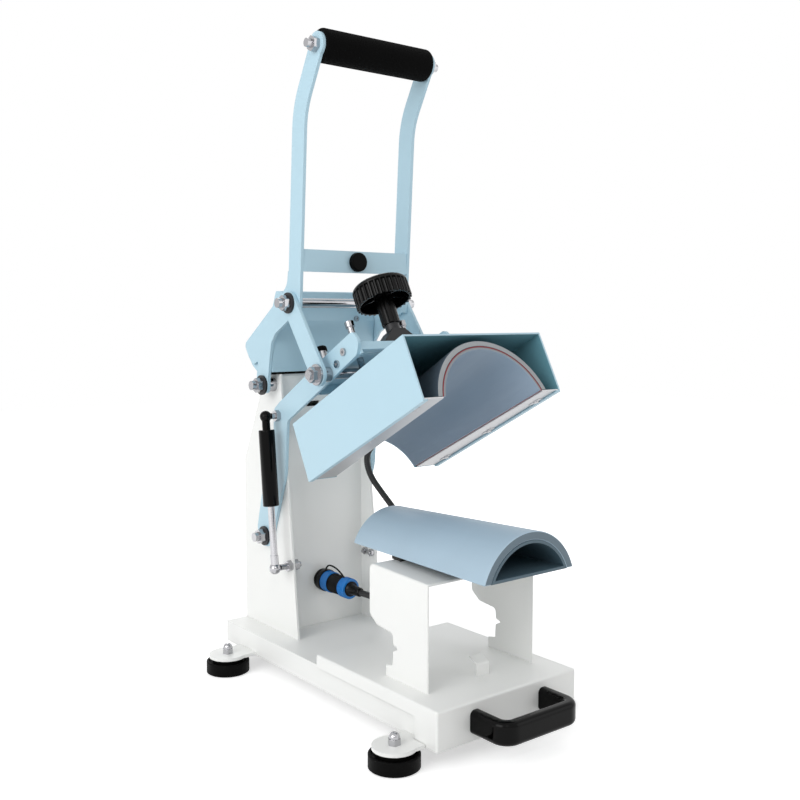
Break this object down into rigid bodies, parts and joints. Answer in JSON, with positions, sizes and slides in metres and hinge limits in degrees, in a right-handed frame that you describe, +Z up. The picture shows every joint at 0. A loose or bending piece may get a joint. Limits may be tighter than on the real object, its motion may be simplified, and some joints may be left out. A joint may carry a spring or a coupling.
{
  "type": "shin guard heat press",
  "caption": "Bench heat press with a curved heater on a lever linkage, a tapered lower platen on a sliding drawer, a pressure knob and a gas spring.",
  "frame": {"origin": "centre of the machine's length and width, on the table under the rubber feet", "axes": "+Z up, +X to the right as seen from the front, -Y to the front, where the drawer opens"},
  "size_m": [0.3132, 0.509, 0.7985],
  "materials": {
    "white_paint": "satin powder coat",
    "blue_paint": "satin powder coat",
    "chrome": "bright zinc or chrome plate",
    "steel": "bare steel",
    "black_steel": "black oxide or paint",
    "black_plastic": "matte black",
    "black_rubber": "matte rubber",
    "black_foam": "foam sleeve",
    "pad_rubber": "smooth silicone",
    "heater_rubber": "smooth silicone",
    "element_red": "silicone with etched element",
    "mat_grey": "needled glass mat",
    "shell_metal": "cast, satin",
    "blue_plastic": "gloss blue",
    "screen": "dark display window",
    "board_green": "circuit board",
    "button_grey": "matte",
    "spacer_black": "fibre board"
  },
  "bodies": {
    "frame": {"base_frame": "white_paint", "foot_ears": "white_paint", "rubber_feet": "black_rubber", "foot_fasteners": "chrome", "column_shell": "white_paint", "column_back_cover": "white_paint", "head_cover": "blue_paint", "head_gasket": "black_rubber", "pivot_shafts": "chrome", "frame_washers": "black_steel", "column_fasteners": "chrome", "lower_ball_stud": "chrome", "heater_socket": "black_plastic", "heater_plug": "black_plastic", "plug_rings": "blue_plastic", "heater_cable": "black_rubber", "controller_bezel": "black_plastic", "display_window": "screen", "controller_board": "board_green", "power_inlet": "black_plastic"},
    "drawer": {"drawer_pan": "white_paint", "drawer_runners": "black_plastic", "drawer_handle": "black_plastic", "platen_stand": "white_paint", "platen_spacers": "spacer_black", "platen_bolts": "steel", "platen_shell": "shell_metal", "platen_pad": "pad_rubber"},
    "arm": {"arm_plates": "blue_paint", "arm_bridge": "blue_paint", "arm_fasteners": "chrome", "link_shaft": "chrome", "upper_ball_stud": "chrome", "stop_post": "steel", "stop_cap": "black_rubber", "screw_nut": "black_steel"},
    "upper_platen": {"upper_casing": "blue_paint", "guide_pins": "chrome", "heater_pad": "heater_rubber", "heater_element": "element_red", "heater_mat": "mat_grey", "flange_strips": "shell_metal", "flange_clips": "steel", "cable_gland": "black_plastic"},
    "knob": {"pressure_knob": "black_plastic", "pressure_screw": "steel"},
    "handle": {"handle_frame": "blue_paint", "handle_bumper": "black_rubber", "knee_shaft": "chrome", "grip_bolt": "chrome", "grip_foam": "black_foam"},
    "links": {"link_plates": "blue_paint", "knee_washers": "black_steel", "knee_bolts": "chrome"},
    "strut_lower": {"strut_rod": "chrome"},
    "strut_upper": {"strut_cylinder": "black_steel"},
    "button_left": {"button_down": "button_grey"},
    "button_middle": {"button_up": "button_grey"},
    "button_right": {"button_set": "button_grey"},
    "rocker": {"power_rocker": "black_plastic"}
  },
  "joints": [
    {"name": "drawer_slide", "type": "slide", "parent": "frame", "child": "drawer", "axis": [0, -1, 0], "range_m": [0, 0.14]},
    {"name": "arm_swing", "type": "hinge", "parent": "frame", "child": "arm", "pos_m": [0, 0.1903, 0.173], "axis": [1, 0, 0], "range_deg": [0, 27.5], "stiffness_Nm_per_rad": 10, "springref_deg": -171.89, "deforming": ["heater_cable"]},
    {"name": "handle_swing", "type": "hinge", "parent": "frame", "child": "handle", "pos_m": [0, 0.1719, 0.3759], "axis": [1, 0, 0], "range_deg": [0, 74.46]},
    {"name": "link_swing", "type": "hinge", "parent": "arm", "child": "links", "pos_m": [0, 0.0369, 0.3957], "axis": [1, 0, 0], "range_deg": [-62.18, 0]},
    {"name": "strut_swing", "type": "hinge", "parent": "frame", "child": "strut_lower", "pos_m": [-0.091, 0.1342, 0.1425], "axis": [1, 0, 0], "range_deg": [0, 23.87]},
    {"name": "strut_slide", "type": "slide", "parent": "strut_lower", "child": "strut_upper", "axis": [0, 0.0984, 0.9951], "range_m": [-0.02812, 0]},
    {"name": "platen_lift", "type": "slide", "parent": "arm", "child": "upper_platen", "axis": [0, 0.4617, 0.887], "range_m": [0, 0.006]},
    {"name": "knob_turn", "type": "hinge", "parent": "upper_platen", "child": "knob", "pos_m": [0, -0.02783, 0.387], "axis": [0, 0.4617, 0.887], "range_deg": [0, 1080.5]},
    {"name": "left_button_press", "type": "slide", "parent": "frame", "child": "button_left", "axis": [-1, 0, 0], "range_m": [0, 0.0015], "stiffness_N_per_m": 400, "springref_m": -0.0005},
    {"name": "middle_button_press", "type": "slide", "parent": "frame", "child": "button_middle", "axis": [-1, 0, 0], "range_m": [0, 0.0015], "stiffness_N_per_m": 400, "springref_m": -0.0005},
    {"name": "right_button_press", "type": "slide", "parent": "frame", "child": "button_right", "axis": [-1, 0, 0], "range_m": [0, 0.0015], "stiffness_N_per_m": 400, "springref_m": -0.0005},
    {"name": "power_rocker_tilt", "type": "hinge", "parent": "frame", "child": "rocker", "pos_m": [0, 0.2513, 0.113], "axis": [1, 0, 0], "range_deg": [-20, 0]}
  ],
  "couplings": [
    {"joint": "handle_swing", "follows": "arm_swing", "ratio": 2.7073},
    {"joint": "link_swing", "follows": "arm_swing", "ratio": -2.2607},
    {"joint": "strut_swing", "follows": "arm_swing", "ratio": 0.86776},
    {"joint": "strut_slide", "follows": "arm_swing", "m_per_rad": -0.058566},
    {"joint": "knob_turn", "follows": "platen_lift", "rad_per_m": 3141.6}
  ]
}
